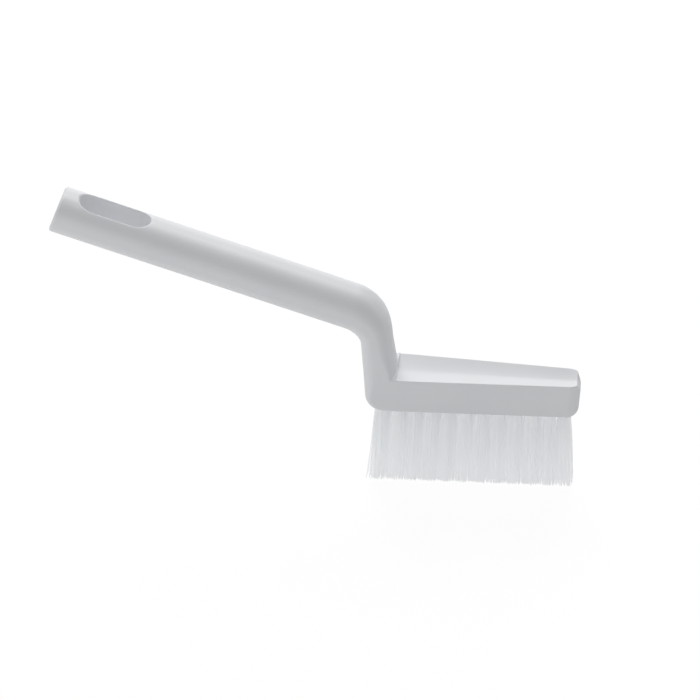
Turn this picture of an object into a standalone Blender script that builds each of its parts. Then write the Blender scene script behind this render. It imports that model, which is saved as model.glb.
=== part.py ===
"""Corner cleaning brush: one moulded body, staple-set bristle tufts and their wire anchors.

Metres, +Z up. The brush stands on its bristle tips, with its handle rising towards -X
and the tip of its head at +X. The origin is under the middle of its outer box.
"""

import math

import bmesh
import bpy
from mathutils import Vector

# Head
BRISTLE_LENGTH = 0.03120
HEAD_REACH = 0.07465
HEEL_WIDTH = 0.01910
TIP_WIDTH = 0.01170
HEEL_HEIGHT = 0.01380
TIP_HEIGHT = 0.01380
HEEL_RADIUS = 0.00600
RIM_RADIUS = 0.00035
SOLE_RADIUS = 0.0008
DISH_DEPTH = 0.0013
TIP_DISH_DEPTH = 0.0008
DISH_ROUNDNESS = 1.4
TIP_ROUND_LENGTH = 0.0048
TIP_PLAN_ROUND = 0.0042
TIP_BOTTOM_ROUND = 0.00290
TIP_BROW_DROP = 0.0032

# Neck and bend
BEND_HEIGHT = 0.06780
BEND_RADIUS = 0.01390
NECK_LEAN = math.radians(4.5)
NECK_THICKNESS = 0.01100
NECK_TOP_WIDTH = 0.01850
NECK_FRONT_CROWN = 0.0012
NECK_FRONT_RADIUS = 0.0038
NECK_FOOT_RADIUS = 0.0012
NECK_BACK_RADIUS = 0.0046
NECK_BASE_FLARE = 0.0006
CREASE_RADIUS = 0.0010
RIM_RUN = 0.6

# Handle
HANDLE_LENGTH = 0.11885
HANDLE_SLOPE = math.radians(17.93)
HANDLE_WIDTH = 0.01870
HANDLE_THICKNESS = 0.01440
HANDLE_FLAT = 0.0030
HANDLE_SIDE_FLAT = 0.0020
END_LEAN = math.radians(4.5)
END_LEAN_RUN = 0.0200
END_ROUND = 0.00110

# Hanging slot
SLOT_LENGTH = 0.0248
SLOT_WIDTH = 0.0103
SLOT_FROM_END = 0.0208
SLOT_RIM_RADIUS = 0.0007
SLOT_RIM_ARC = math.radians(72)

# Tufts and anchors
TUFT_PITCH = 0.00606
TUFT_PAIRS = 11
FIRST_TUFT_SETBACK = 0.00555
MIDDLE_TUFTS = 4
TIP_TUFT_STEP = 0.00590
TUFT_EDGE_DISTANCE = 0.0034
PLUG_RADIUS = 0.00215
PLUG_HEIGHT = 0.0072
FOLD_THICKNESS = 0.0010
STRAND_MARGIN = 0.00015
STRAND_TIP_SCALE = 0.9
TUFT_SPREAD = 1.25
END_TUFT_LEAN = math.radians(2.6)
SIDE_TUFT_LEAN = math.radians(2.0)
ANCHOR_LENGTH = 0.0053
ANCHOR_HEIGHT = 0.0016
ANCHOR_THICKNESS = 0.0004
ANCHOR_CHAMFER = 0.0004
ANCHOR_SLANT = math.radians(24)
CLEARANCE = 0.0003

# Facets
CORNER_STEPS = 5
SIDE_STEPS = 2
SOLE_STEPS = 4
TOP_STEPS = 8
BEND_STEPS = 12
NECK_STEPS = 3
FAN_STEPS = 10
HEEL_ARC_STEPS = 12
HEAD_STEPS = 5
TIP_STEPS = 8
BROW_STEP = 4
END_STEPS = 3
GRIP_STEPS = 7
SLOT_ARC_STEPS = 9
SLOT_RIM_STEPS = 3
HOLE_SIDES = 12
TURN_TRIES = 4

UP = Vector((0, 0, 1))
SOLE_Z = BRISTLE_LENGTH
HOLE_RADIUS = PLUG_RADIUS + CLEARANCE
HOLE_DEPTH = PLUG_HEIGHT + CLEARANCE


def clear_scene():
    for old in list(bpy.data.objects):
        bpy.data.objects.remove(old, do_unlink=True)


def plain_material(name, colour, roughness, metallic=0.0):
    material = bpy.data.materials.new(name)
    material.use_nodes = True
    shader = material.node_tree.nodes["Principled BSDF"]
    shader.inputs["Base Color"].default_value = (*colour, 1.0)
    shader.inputs["Roughness"].default_value = roughness
    shader.inputs["Metallic"].default_value = metallic
    material.diffuse_color = (*colour, 1.0)
    return material


def add_object(name, mesh, parent, material=None, place=(0, 0, 0), turn=0.0):
    piece = bpy.data.objects.new(name, mesh)
    bpy.context.scene.collection.objects.link(piece)
    piece.parent = parent
    piece.location = place
    piece.rotation_euler = (0, 0, turn)
    if material is not None and not mesh.materials:
        mesh.materials.append(material)
    return piece


def as_cutter(piece):
    piece.hide_render = True
    piece.display_type = "WIRE"
    return piece


def cut(piece, cutter, name):
    modifier = piece.modifiers.new(name, "BOOLEAN")
    modifier.operation = "DIFFERENCE"
    modifier.solver = "EXACT"
    modifier.object = cutter


def mesh_from(bm, name):
    bmesh.ops.recalc_face_normals(bm, faces=bm.faces)
    mesh = bpy.data.meshes.new(name)
    bm.to_mesh(mesh)
    bm.free()
    return mesh


def skin(bm, rings):
    """Joins rings of equal count into one closed skin with a face at each end."""
    loops = [[bm.verts.new(point) for point in ring] for ring in rings]
    for first, second in zip(loops, loops[1:]):
        for i in range(len(first)):
            j = (i + 1) % len(first)
            bm.faces.new((first[i], first[j], second[j], second[i]))
    bm.faces.new(loops[0])
    bm.faces.new(loops[-1])


def ease(t):
    """0 to 1 with a soft start and end."""
    t = min(max(t, 0.0), 1.0)
    return t * t * (3 - 2 * t)


def blend(a, b, t):
    return a + (b - a) * t


def xz(x, z):
    return Vector((x, 0, z))


# The body's side view lies in the XZ plane. x is 0 at the corner where the centre lines
# of handle and neck meet, until the whole brush is moved onto its origin.
CORNER = xz(0, BEND_HEIGHT)
ALONG_HANDLE = xz(-math.cos(HANDLE_SLOPE), math.sin(HANDLE_SLOPE))
DOWN_NECK = xz(math.sin(NECK_LEAN), -math.cos(NECK_LEAN))
TURN = math.pi / 2 - NECK_LEAN - HANDLE_SLOPE
BEND_SETBACK = BEND_RADIUS * math.tan(TURN / 2)


def across(direction):
    """The unit vector a quarter turn clockwise from direction, in the side view."""
    return xz(direction.z, -direction.x)


class Station:
    """One cross-section: it stands between a lower and an upper point of the side view."""

    def __init__(self, lower, upper, width, low_corner, top_corner, crown, planar=0.0):
        self.lower = lower
        self.upper = upper
        self.width = width
        self.low_corner = low_corner
        self.top_corner = top_corner
        self.crown = crown
        self.planar = planar

    def ring(self):
        height = (self.upper - self.lower).length
        up = (self.upper - self.lower) / height
        half = [self.placed(y, self.lower + up * s) for y, s in self.half_outline(height)]
        other = [Vector((p.x, -p.y, p.z)) for p in reversed(half)]
        return half + other[1:-1]

    def placed(self, y, point):
        """Where planar is 1, the station's sides lie in the head's tapering side planes."""
        return point + Vector((0, y * blend(1.0, head_width(point.x) / self.width, self.planar), 0))

    def half_outline(self, height):
        """Points (y, s) up the +Y half, from the middle of the sole to the middle of the top."""
        w = self.width / 2
        low_y, low_s = self.low_corner
        top_y, top_s = self.top_corner
        turn = self.top_turn(w)
        join = w - top_y + top_y * math.cos(turn)
        edge = height - max(self.crown, 0.0) + top_s * (1 - math.sin(turn))
        points = [((w - low_y) * i / (SOLE_STEPS / 2), 0.0) for i in range(SOLE_STEPS // 2)]
        for i in range(CORNER_STEPS):
            t = math.pi / 2 * i / CORNER_STEPS
            points.append((
                w - low_y + low_y * math.sin(t),
                low_s - low_s * math.cos(t),
            ))
        for i in range(SIDE_STEPS):
            points.append((w, blend(low_s, edge - top_s, i / SIDE_STEPS)))
        for i in range(CORNER_STEPS):
            t = turn * i / CORNER_STEPS
            points.append((
                w - top_y + top_y * math.cos(t),
                edge - top_s + top_s * math.sin(t),
            ))
        half_top = TOP_STEPS // 2
        join_s = height - max(self.crown, 0.0)
        roundness = 2.0 if self.crown > 0 else DISH_ROUNDNESS
        for i in range(half_top + 1):
            share = 1 - i / half_top
            points.append((join * share, join_s + self.crown * (1 - share ** roundness)))
        return points

    def top_turn(self, w):
        """How far the top corner turns before it runs on smoothly into a crowned top."""
        top_y, top_s = self.top_corner
        turn = math.pi / 2
        if self.crown > 0:
            for _ in range(TURN_TRIES):
                join = w - top_y + top_y * math.cos(turn)
                turn = math.atan2(top_s * join, 2 * self.crown * top_y)
        return turn


def handle_corner(width, thickness):
    return ((width - HANDLE_FLAT) / 2, (thickness - HANDLE_SIDE_FLAT) / 2)


def handle_station(from_end, inset=0.0):
    lean = END_LEAN * (1 - ease((from_end - END_ROUND) / END_LEAN_RUN))
    centre = CORNER + ALONG_HANDLE * (HANDLE_LENGTH - from_end)
    tilt = HANDLE_SLOPE + lean
    half = xz(math.sin(tilt), math.cos(tilt)) * (HANDLE_THICKNESS / 2 - inset) / math.cos(lean)
    width = HANDLE_WIDTH - 2 * inset
    corner = handle_corner(width, HANDLE_THICKNESS - 2 * inset)
    return Station(centre - half, centre + half, width, corner, corner, 0.0)


def handle_stations():
    stations = []
    for i in range(END_STEPS + 1):
        angle = math.pi / 2 * i / END_STEPS
        stations.append(handle_station(
            END_ROUND * (1 - math.cos(angle)), END_ROUND * (1 - math.sin(angle))
        ))
    run = HANDLE_LENGTH - BEND_SETBACK - END_ROUND
    for i in range(1, GRIP_STEPS):
        stations.append(handle_station(END_ROUND + run * i / GRIP_STEPS))
    return stations


def mix_corner(a, b, t):
    return (blend(a[0], b[0], t), blend(a[1], b[1], t))


def bend_stations():
    """Round the bend the section thins and changes from the grip's shape to the neck's."""
    pivot = CORNER + ALONG_HANDLE * BEND_SETBACK + across(ALONG_HANDLE) * -BEND_RADIUS
    grip = handle_corner(HANDLE_WIDTH, HANDLE_THICKNESS)
    stations = []
    for i in range(BEND_STEPS + 1):
        t = i / BEND_STEPS
        soft = ease(t)
        angle = HANDLE_SLOPE + TURN * t
        outward = xz(math.sin(angle), math.cos(angle))
        centre = pivot + outward * BEND_RADIUS
        half = blend(HANDLE_THICKNESS, NECK_THICKNESS, soft) / 2
        stations.append(Station(
            centre - outward * half,
            centre + outward * half,
            blend(HANDLE_WIDTH, NECK_TOP_WIDTH, soft),
            mix_corner(grip, (NECK_BACK_RADIUS, NECK_BACK_RADIUS), soft),
            mix_corner(grip, (NECK_FRONT_RADIUS, NECK_FRONT_RADIUS), soft),
            NECK_FRONT_CROWN * soft,
        ))
    return stations


def rim_z(x):
    """Height of the dish's rim above the tips, which falls a little towards the tip."""
    return SOLE_Z + blend(HEEL_HEIGHT, TIP_HEIGHT, max(x, 0.0) / HEAD_REACH)


def head_width(x):
    heel_x = neck_face(SOLE_Z + HEEL_RADIUS, -1).x
    return blend(HEEL_WIDTH, TIP_WIDTH, max(x - heel_x, 0.0) / (HEAD_REACH - heel_x))


def neck_face(z, side):
    """Point at height z on the neck's back (side -1) or front (side +1) line."""
    x = (BEND_HEIGHT - z) * math.tan(NECK_LEAN)
    return xz(x + side * NECK_THICKNESS / 2 / math.cos(NECK_LEAN), z)


def crease():
    """(centre, points) of the small arc where the neck's front line turns into the rim."""
    z = rim_z(0) + CREASE_RADIUS
    face = neck_face(z, 1)
    centre = xz(face.x + NECK_BASE_FLARE + CREASE_RADIUS / math.cos(NECK_LEAN), z)
    points = []
    for i in range(FAN_STEPS + 1):
        angle = math.pi + NECK_LEAN + (math.pi / 2 - NECK_LEAN) * i / FAN_STEPS
        points.append(centre + xz(math.cos(angle), math.sin(angle)) * CREASE_RADIUS)
    return centre, points


def heel_route(start, end_x):
    """The lower line from the neck's back round the heel to the sole, in even steps."""
    pivot_z = SOLE_Z + HEEL_RADIUS
    pivot = neck_face(pivot_z, -1) + xz(HEEL_RADIUS / math.cos(NECK_LEAN), 0)
    route = [start]
    sweep = math.pi / 2 - NECK_LEAN
    for i in range(HEEL_ARC_STEPS + 1):
        angle = math.pi + NECK_LEAN + sweep * i / HEEL_ARC_STEPS
        route.append(pivot + xz(math.cos(angle), math.sin(angle)) * HEEL_RADIUS)
    route.append(xz(end_x, SOLE_Z))
    lengths = [(b - a).length for a, b in zip(route, route[1:])]
    points = []
    for k in range(FAN_STEPS + 1):
        left = sum(lengths) * k / FAN_STEPS
        i = 0
        while i < len(lengths) - 1 and left > lengths[i]:
            left -= lengths[i]
            i += 1
        points.append(route[i].lerp(route[i + 1], min(left / lengths[i], 1.0)))
    return points


def neck_and_heel_stations():
    """Below the bend, then fanned about the crease where the neck turns into the head."""
    centre, creases = crease()
    first_upper = creases[0]
    first_lower = neck_face(first_upper.z - math.sin(NECK_LEAN) * NECK_THICKNESS, -1)
    top_z = (CORNER + DOWN_NECK * BEND_SETBACK).z
    back = (NECK_BACK_RADIUS, NECK_BACK_RADIUS)
    front = (NECK_FRONT_RADIUS, NECK_FRONT_RADIUS)
    foot = (NECK_FOOT_RADIUS, NECK_FOOT_RADIUS)
    stations = []
    for i in range(1, NECK_STEPS):
        t = i / NECK_STEPS
        centre_z = blend(top_z, (first_upper.z + first_lower.z) / 2, t)
        half = across(DOWN_NECK) * -NECK_THICKNESS / 2
        middle = (neck_face(centre_z, 1) + neck_face(centre_z, -1)) / 2
        flare = xz(NECK_BASE_FLARE * ease(t), 0)
        lower = middle - half
        width = blend(NECK_TOP_WIDTH, head_width(lower.x), ease(t))
        corner = mix_corner(front, foot, ease(t))
        stations.append(Station(
            lower, middle + half + flare, width, back, corner, NECK_FRONT_CROWN, ease(t)
        ))
    lowers = heel_route(first_lower, centre.x)
    for i, (lower, upper) in enumerate(zip(lowers, creases)):
        t = i / FAN_STEPS
        soft = ease(t)
        stations.append(Station(
            lower,
            upper,
            head_width(lower.x),
            mix_corner(back, (SOLE_RADIUS, SOLE_RADIUS), soft),
            mix_corner(foot, (RIM_RADIUS, RIM_RADIUS), ease(t / RIM_RUN)),
            blend(NECK_FRONT_CROWN, -DISH_DEPTH, soft),
            1.0,
        ))
    return stations


def head_stations():
    start = crease()[0].x
    tip_start = HEAD_REACH - TIP_ROUND_LENGTH
    corner = (SOLE_RADIUS, SOLE_RADIUS)
    rim = (RIM_RADIUS, RIM_RADIUS)
    stations = []
    for i in range(1, HEAD_STEPS):
        x = blend(start, tip_start, i / HEAD_STEPS)
        stations.append(
            Station(xz(x, SOLE_Z), xz(x, rim_z(x)), head_width(x), corner, rim, -DISH_DEPTH)
        )
    brow_start = math.sin(math.pi / 2 * BROW_STEP / TIP_STEPS)
    for i in range(TIP_STEPS + 1):
        angle = math.pi / 2 * i / TIP_STEPS
        inset = 1 - math.cos(angle)
        x = tip_start + TIP_ROUND_LENGTH * math.sin(angle)
        brow = max(0.0, (math.sin(angle) - brow_start) / (1 - brow_start))
        sole = SOLE_Z + TIP_BOTTOM_ROUND * inset
        dish = blend(DISH_DEPTH, TIP_DISH_DEPTH, i / TIP_STEPS) * (1 - brow)
        stations.append(Station(
            xz(x - TIP_BOTTOM_ROUND * inset * math.tan(NECK_LEAN), sole),
            xz(x, rim_z(x) - TIP_BROW_DROP * brow),
            head_width(tip_start) - 2 * TIP_PLAN_ROUND * inset,
            corner,
            rim,
            -dish,
        ))
    return stations


def body_mesh(stations):
    bm = bmesh.new()
    skin(bm, [station.ring() for station in stations])
    mesh = mesh_from(bm, "brush_body")
    mesh.shade_smooth()
    mesh.set_sharp_from_angle(angle=math.radians(32))
    return mesh


def slot_centre_x():
    return (ALONG_HANDLE * HANDLE_LENGTH).x + SLOT_FROM_END


def handle_surface(x, y, side):
    """Height of the handle's top (side +1) or underside (side -1) over a point near the slot."""
    corner_y, corner_s = handle_corner(HANDLE_WIDTH, HANDLE_THICKNESS)
    past_flat = max(abs(y) - (HANDLE_WIDTH / 2 - corner_y), 0.0) / corner_y
    rise = math.sqrt(1 - min(past_flat, 1.0) ** 2)
    s = HANDLE_THICKNESS / 2 - corner_s + corner_s * rise
    axis_z = BEND_HEIGHT - x * math.tan(HANDLE_SLOPE)
    return axis_z + side * s / math.cos(HANDLE_SLOPE)


def slot_outline(grow):
    """Plan of the slot, a long hole with round ends, grown outward by grow."""
    radius = SLOT_WIDTH / 2 + grow
    straight = (SLOT_LENGTH - SLOT_WIDTH) / 2
    outline = []
    for end in (1, -1):
        for i in range(SLOT_ARC_STEPS + 1):
            angle = math.pi * (i / SLOT_ARC_STEPS - 0.5)
            outline.append((
                slot_centre_x() + end * (straight + radius * math.cos(angle)),
                end * radius * math.sin(angle),
            ))
    return outline


def slot_rim(side):
    """Rings that round the slot's edge over to the handle's curved surface."""
    rings = []
    for i in range(SLOT_RIM_STEPS + 1):
        angle = SLOT_RIM_ARC * i / SLOT_RIM_STEPS
        sink = SLOT_RIM_RADIUS * (1 - math.sin(angle))
        outline = slot_outline(SLOT_RIM_RADIUS * (1 - math.cos(angle)))
        rings.append([(x, y, handle_surface(x, y, side) - side * sink) for x, y in outline])
    reach = 2 * SLOT_RIM_RADIUS
    grow = SLOT_RIM_RADIUS * (1 - math.cos(SLOT_RIM_ARC)) + reach * math.sin(SLOT_RIM_ARC)
    lift = reach * math.cos(SLOT_RIM_ARC)
    outline = slot_outline(grow)
    rings.append([(x, y, handle_surface(x, y, side) + side * lift) for x, y in outline])
    level = handle_surface(slot_centre_x() - side * SLOT_LENGTH, 0, side) + side * HANDLE_THICKNESS
    rings.append([(x, y, level) for x, y in outline])
    return rings


def slot_mesh():
    bm = bmesh.new()
    skin(bm, list(reversed(slot_rim(-1))) + slot_rim(1))
    return mesh_from(bm, "slot_cutter")


def tuft_places():
    """(name, x, y) of every tuft: two rows along the edges, a short middle row, one at the tip."""
    first = neck_face(SOLE_Z, -1).x + FIRST_TUFT_SETBACK
    places = []
    for i in range(TUFT_PAIRS):
        x = first + TUFT_PITCH * i
        y = head_width(x) / 2 - TUFT_EDGE_DISTANCE
        places.append((f"front_{i + 1:02d}", x, -y))
        places.append((f"rear_{i + 1:02d}", x, y))
    for i in range(MIDDLE_TUFTS):
        places.append((f"middle_{i + 1:02d}", first + TUFT_PITCH * (i + 0.5), 0.0))
    places.append(("tip", first + TUFT_PITCH * (TUFT_PAIRS - 1) + TIP_TUFT_STEP, 0.0))
    return places


def circle(radius, count, z, x=0.0, y=0.0):
    return [
        (x + radius * math.cos(2 * math.pi * i / count), y + radius * math.sin(2 * math.pi * i / count), z)
        for i in range(count)
    ]


def holes_mesh(places):
    bm = bmesh.new()
    for _, x, y in places:
        mouth = circle(HOLE_RADIUS, HOLE_SIDES, SOLE_Z - HEEL_RADIUS, x, y)
        end = circle(HOLE_RADIUS, HOLE_SIDES, SOLE_Z + HOLE_DEPTH, x, y)
        skin(bm, [mouth, end])
    return mesh_from(bm, "hole_cutter")


def anchor_z():
    """Height of an anchor's middle: it lies under the fold of its tuft."""
    return SOLE_Z + PLUG_HEIGHT - FOLD_THICKNESS - CLEARANCE - ANCHOR_HEIGHT / 2


def pockets_mesh(places):
    """Room for each anchor: a window through its tuft and a notch in each side of its hole."""
    size = Vector((ANCHOR_LENGTH, ANCHOR_THICKNESS, ANCHOR_HEIGHT)) + Vector((1, 1, 1)) * 2 * CLEARANCE
    along = Vector((math.cos(ANCHOR_SLANT), math.sin(ANCHOR_SLANT), 0)) * size.x / 2
    aside = Vector((-math.sin(ANCHOR_SLANT), math.cos(ANCHOR_SLANT), 0)) * size.y / 2
    bm = bmesh.new()
    for _, x, y in places:
        centre = Vector((x, y, anchor_z()))
        outline = [centre + a * along + b * aside for a, b in ((1, 1), (-1, 1), (-1, -1), (1, -1))]
        skin(bm, [[p - UP * size.z / 2 for p in outline], [p + UP * size.z / 2 for p in outline]])
    return mesh_from(bm, "pocket_cutter")


def anchor_mesh():
    """A short length of flat wire whose lower corners are cut to bite."""
    x, z, c = ANCHOR_LENGTH / 2, ANCHOR_HEIGHT / 2, ANCHOR_CHAMFER
    outline = ((x, z), (-x, z), (-x, c - z), (c - x, -z), (x - c, -z), (x, c - z))
    half = ANCHOR_THICKNESS / 2
    bm = bmesh.new()
    skin(bm, [[(px, side * half, pz) for px, pz in outline] for side in (-1, 1)])
    return mesh_from(bm, "anchor")


def tuft_mesh(name, lean_x, lean_y):
    """A plug with its strands, about the middle of its hole's mouth.

    The plug's lower face is a lattice of triangles. Fifteen of them are drawn in and
    pulled down into strands, which fan out evenly and so never cross.
    """
    bm = bmesh.new()
    middle = bm.verts.new((0, 0, 0))
    inner = [bm.verts.new(p) for p in circle(PLUG_RADIUS / 2, 6, 0)]
    outer = [bm.verts.new(p) for p in circle(PLUG_RADIUS, 12, 0)]
    top = [bm.verts.new(p) for p in circle(PLUG_RADIUS, 12, PLUG_HEIGHT)]
    strands = []
    for i in range(6):
        j = (i + 1) % 6
        left, centre, right = outer[2 * i], outer[2 * i + 1], outer[2 * j]
        core = bm.faces.new((middle, inner[i], inner[j]))
        bm.faces.new((inner[i], centre, inner[j]))
        strands.append(bm.faces.new((inner[i], left, centre)))
        strands.append(bm.faces.new((inner[j], centre, right)))
        if i % 2 == 0:
            strands.append(core)
    for i in range(12):
        j = (i + 1) % 12
        bm.faces.new((outer[i], outer[j], top[j], top[i]))
    bm.faces.new(top)
    bmesh.ops.recalc_face_normals(bm, faces=bm.faces)
    bmesh.ops.inset_individual(bm, faces=strands, thickness=STRAND_MARGIN, use_even_offset=True)
    pulled = bmesh.ops.extrude_discrete_faces(bm, faces=strands)["faces"]
    reach = Vector((math.tan(lean_x), math.tan(lean_y), -1)) * BRISTLE_LENGTH
    for face in pulled:
        root = face.calc_center_median()
        tip = Vector((root.x * TUFT_SPREAD, root.y * TUFT_SPREAD, 0)) + reach
        for vert in face.verts:
            vert.co = tip + (vert.co - root) * STRAND_TIP_SCALE
    return mesh_from(bm, name)


def build():
    clear_scene()
    stations = handle_stations() + bend_stations() + neck_and_heel_stations() + head_stations()
    mesh = body_mesh(stations)
    xs = [vertex.co.x for vertex in mesh.vertices]
    origin = bpy.data.objects.new("brush", None)
    bpy.context.scene.collection.objects.link(origin)
    origin.location = (-(min(xs) + max(xs)) / 2, 0, 0)

    plastic = plain_material("white_plastic", (0.80, 0.81, 0.82), 0.38)
    nylon = plain_material("white_bristle", (0.88, 0.88, 0.87), 0.45)
    steel = plain_material("anchor_steel", (0.60, 0.60, 0.61), 0.35, 1.0)

    places = tuft_places()
    slot = as_cutter(add_object("slot_cutter", slot_mesh(), origin))
    holes = as_cutter(add_object("hole_cutter", holes_mesh(places), origin))
    pockets = as_cutter(add_object("pocket_cutter", pockets_mesh(places), origin))
    body = add_object("brush_body", mesh, origin, plastic)
    cut(body, slot, "hanging slot")
    cut(body, holes, "tuft holes")
    cut(body, pockets, "anchor notches")

    anchor = anchor_mesh()
    low_x = min(x for _, x, _ in places)
    high_x = max(x for _, x, _ in places)
    high_y = max(y for _, _, y in places)
    for name, x, y in places:
        lean_x = END_TUFT_LEAN * (2 * (x - low_x) / (high_x - low_x) - 1)
        lean_y = SIDE_TUFT_LEAN * y / high_y
        shape = tuft_mesh(f"tuft_{name}", lean_x, lean_y)
        tuft = add_object(f"tuft_{name}", shape, origin, nylon, (x, y, SOLE_Z))
        cut(tuft, pockets, "anchor window")
        place = (x, y, anchor_z())
        add_object(f"anchor_{name}", anchor, origin, steel, place, ANCHOR_SLANT)


build()
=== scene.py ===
import math
import random

import bmesh
import bpy
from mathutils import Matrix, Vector


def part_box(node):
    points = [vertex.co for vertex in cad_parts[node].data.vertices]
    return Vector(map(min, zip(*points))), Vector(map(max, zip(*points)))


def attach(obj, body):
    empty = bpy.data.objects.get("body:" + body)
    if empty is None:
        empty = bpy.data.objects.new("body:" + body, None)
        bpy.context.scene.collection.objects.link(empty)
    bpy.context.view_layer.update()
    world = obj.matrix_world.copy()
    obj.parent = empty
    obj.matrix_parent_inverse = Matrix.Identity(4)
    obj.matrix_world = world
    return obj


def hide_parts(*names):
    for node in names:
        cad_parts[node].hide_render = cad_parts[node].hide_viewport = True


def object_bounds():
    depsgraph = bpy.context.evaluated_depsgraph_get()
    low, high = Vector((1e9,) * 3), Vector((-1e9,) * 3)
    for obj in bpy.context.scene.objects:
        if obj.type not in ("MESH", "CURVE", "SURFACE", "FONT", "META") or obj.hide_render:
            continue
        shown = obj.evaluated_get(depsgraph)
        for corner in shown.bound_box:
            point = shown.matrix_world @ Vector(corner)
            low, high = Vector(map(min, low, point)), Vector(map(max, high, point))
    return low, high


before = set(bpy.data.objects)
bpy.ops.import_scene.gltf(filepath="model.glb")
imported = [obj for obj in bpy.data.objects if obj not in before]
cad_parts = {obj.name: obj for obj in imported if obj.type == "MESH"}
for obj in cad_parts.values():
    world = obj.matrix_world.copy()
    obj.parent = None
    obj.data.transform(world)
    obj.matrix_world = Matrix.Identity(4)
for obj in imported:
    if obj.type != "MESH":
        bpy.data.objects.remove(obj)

cad_low, cad_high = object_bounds()

# Metres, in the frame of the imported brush: tips on z = 0, handle rising towards -X.
MM = 0.001

# Head
BRISTLE_LENGTH = 31.2 * MM
HEAD_REACH = 74.65 * MM
HEEL_WIDTH = 19.1 * MM
TIP_WIDTH = 11.7 * MM
HEEL_HEIGHT = 13.8 * MM
TIP_HEIGHT = 13.8 * MM
HEEL_RADIUS = 6.0 * MM
RIM_RADIUS = 0.35 * MM
SOLE_RADIUS = 0.8 * MM
DISH_DEPTH = 1.3 * MM
TIP_DISH_DEPTH = 0.8 * MM
DISH_ROUNDNESS = 1.4
TIP_ROUND_LENGTH = 4.8 * MM
TIP_PLAN_ROUND = 4.2 * MM
TIP_BOTTOM_ROUND = 2.9 * MM
TIP_BROW_DROP = 3.2 * MM
BROW_SHARE = 0.5

# Neck and bend
BEND_HEIGHT = 67.8 * MM
BEND_RADIUS = 13.9 * MM
NECK_LEAN = math.radians(4.5)
NECK_THICKNESS = 11.0 * MM
NECK_TOP_WIDTH = 18.5 * MM
NECK_FRONT_CROWN = 1.2 * MM
NECK_FRONT_RADIUS = 3.8 * MM
NECK_FOOT_RADIUS = 1.2 * MM
NECK_BACK_RADIUS = 4.6 * MM
NECK_BASE_FLARE = 0.6 * MM
CREASE_RADIUS = 1.0 * MM
RIM_RUN = 0.6

# Handle and its hanging slot
HANDLE_LENGTH = 118.85 * MM
HANDLE_SLOPE = math.radians(17.93)
HANDLE_WIDTH = 18.7 * MM
HANDLE_THICKNESS = 14.4 * MM
HANDLE_FLAT = 3.0 * MM
HANDLE_SIDE_FLAT = 2.0 * MM
END_LEAN = math.radians(4.5)
END_LEAN_RUN = 20.0 * MM
END_ROUND = 1.1 * MM
SLOT_LENGTH = 24.8 * MM
SLOT_WIDTH = 10.3 * MM
SLOT_FROM_END = 20.8 * MM
SLOT_RIM_RADIUS = 0.7 * MM

# Tufts
PLUG_RADIUS = 2.15 * MM
PLUG_HEIGHT = 7.2 * MM
CLEARANCE = 0.3 * MM
HOLE_RADIUS = PLUG_RADIUS + CLEARANCE
ANCHOR_THICKNESS = 0.4 * MM
ANCHOR_HEIGHT = 1.6 * MM
ANCHOR_BELOW_PLUG_TOP = 1.3 * MM
ANCHOR_GAP = 0.03 * MM
ANCHOR_SLANT = math.radians(24)
FILAMENT_RADIUS = 0.15 * MM
FILAMENT_RADIUS_RANGE = (0.92, 1.06)
FILAMENT_SIDES = 5
FOLDS_PER_TUFT = 76
TIP_TUFT_FOLDS = 90
LEG_STEPS = 6
TIP_PATCH_LENGTH = 6.3 * MM
TIP_PATCH_WIDTH = 5.5 * MM
END_TUFT_LEAN = math.radians(2.4)
SIDE_TUFT_LEAN = math.radians(1.2)
SIDE_MARGIN = 1.1 * FILAMENT_RADIUS
STRAND_TONE_SHARE = 0.38
TUFT_SHARP_ANGLE = math.radians(75)

# Path of a filament, from its cut tip up to the fold over the anchor
MOUTH_MARGIN = 1.4
FOLD_SHARE_ALONG = 0.92
FOLD_SHARE_ASIDE = 0.96
FUNNEL_SHARE = 0.35
FUNNEL_HEIGHT = 2.2 * MM
CREST_RISE = 0.3
SMALLEST_ROOT = 0.01 * MM

# Powers of the drop by which filaments spread; a pair is against and with the tuft's lean
SIDE_SPREAD_POWER = 0.8
SPREAD_POWERS = (0.33, 0.33)
TIP_TUFT_SPREAD_POWERS = (0.33, 1.0)

# Scatter of the filaments, in millimetres
ROOT_SCATTER = 0.05
TIP_SCATTER = (0.22, 0.14)
BOW_SCATTER = (0.18, 0.12)
STRAY_SCATTER = (0.5, 0.5)
TIP_SHORTFALL = (0.02, 0.3)

# Share of stray filaments, and how many millimetres they stand off along the brush
STRAY_SHARE = 0.012
STRAY_STEP = 0.3
HEEL_STRAYS = (0.3, -0.9)

# The first tufts at the heel and the tuft at the tip
HEEL_LEAN_FACTOR = 0.8
HEEL_PATCH_LOSS = 1.0 * MM
TIP_LEAN_FACTOR = 1.35
TIP_TUFT_PATCH_LENGTH = 5.6 * MM

# Fineness of the moulded body
CORNER_STEPS = 12
SIDE_STEPS = 4
SOLE_STEPS = 6
TOP_STEPS = 24
BEND_STEPS = 32
FAN_STEPS = 26
HEEL_STEPS = 32
HEAD_STEPS = 10
TIP_STEPS = 20
END_STEPS = 6
GRIP_STEPS = 16
NECK_STEPS = 6
TURN_TRIES = 4
SLOT_ARC_STEPS = 28
SLOT_RIM_DEGREES = 78
SLOT_RIM_STEP = 13
HOLE_SIDES = 32
BODY_SHARP_ANGLE = math.radians(38)

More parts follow.
